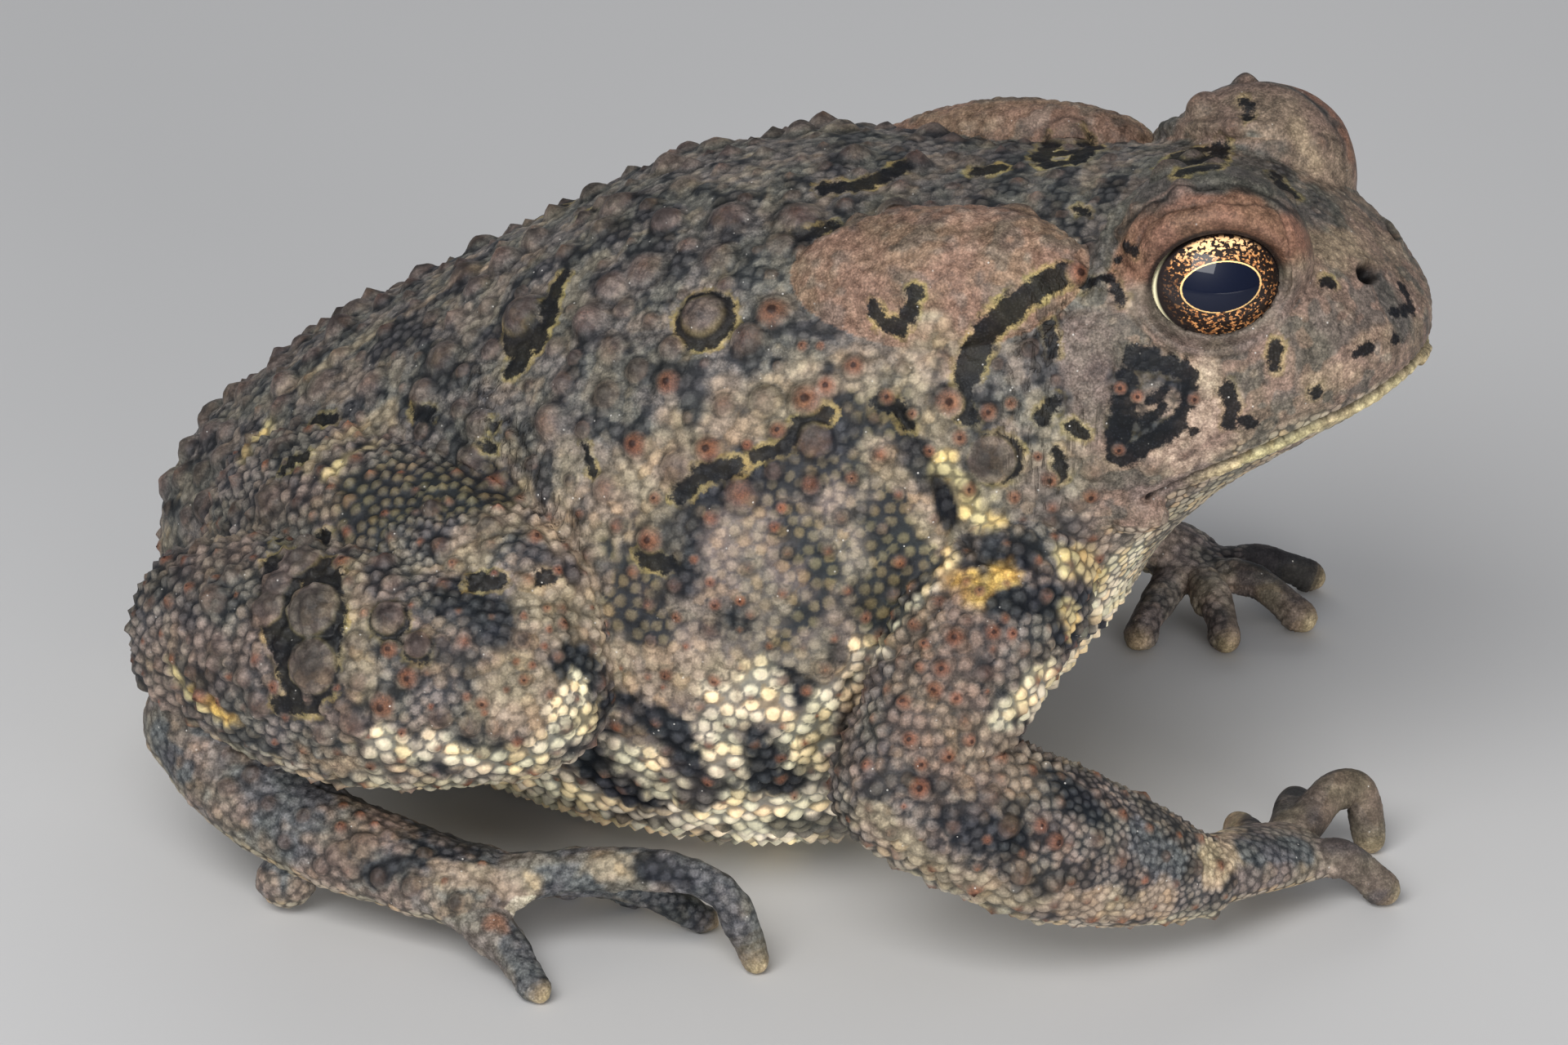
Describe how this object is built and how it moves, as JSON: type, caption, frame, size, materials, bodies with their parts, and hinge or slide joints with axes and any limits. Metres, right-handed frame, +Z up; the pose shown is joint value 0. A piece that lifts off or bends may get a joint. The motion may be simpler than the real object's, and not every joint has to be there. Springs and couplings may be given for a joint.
{
  "type": "american toad",
  "caption": "Life-size still model of an adult American toad sitting on its belly with one hand forward, warty brown skin, oval neck glands and gold-rimmed eyes",
  "frame": {"origin": "the middle of the belly's flat on the floor, half way between the limbs of the two sides", "axes": "+X to the snout, +Y to the toad's left, +Z up"},
  "size_m": [0.0842, 0.0719, 0.0491],
  "materials": {
    "back_skin": "matte",
    "limb_skin": "matte",
    "eye_gloss": "gloss"
  },
  "bodies": {
    "root": {"torso": "back_skin", "head": "back_skin", "eye_right": "eye_gloss", "eye_left": "eye_gloss", "upper_arm_right": "limb_skin", "upper_arm_left": "limb_skin", "forearm_right": "limb_skin", "forearm_left": "limb_skin", "hand_right": "limb_skin", "hand_left": "limb_skin", "thigh_right": "limb_skin", "thigh_left": "limb_skin", "shank_right": "limb_skin", "shank_left": "limb_skin", "foot_right": "limb_skin", "foot_left": "limb_skin"}
  },
  "joints": []
}
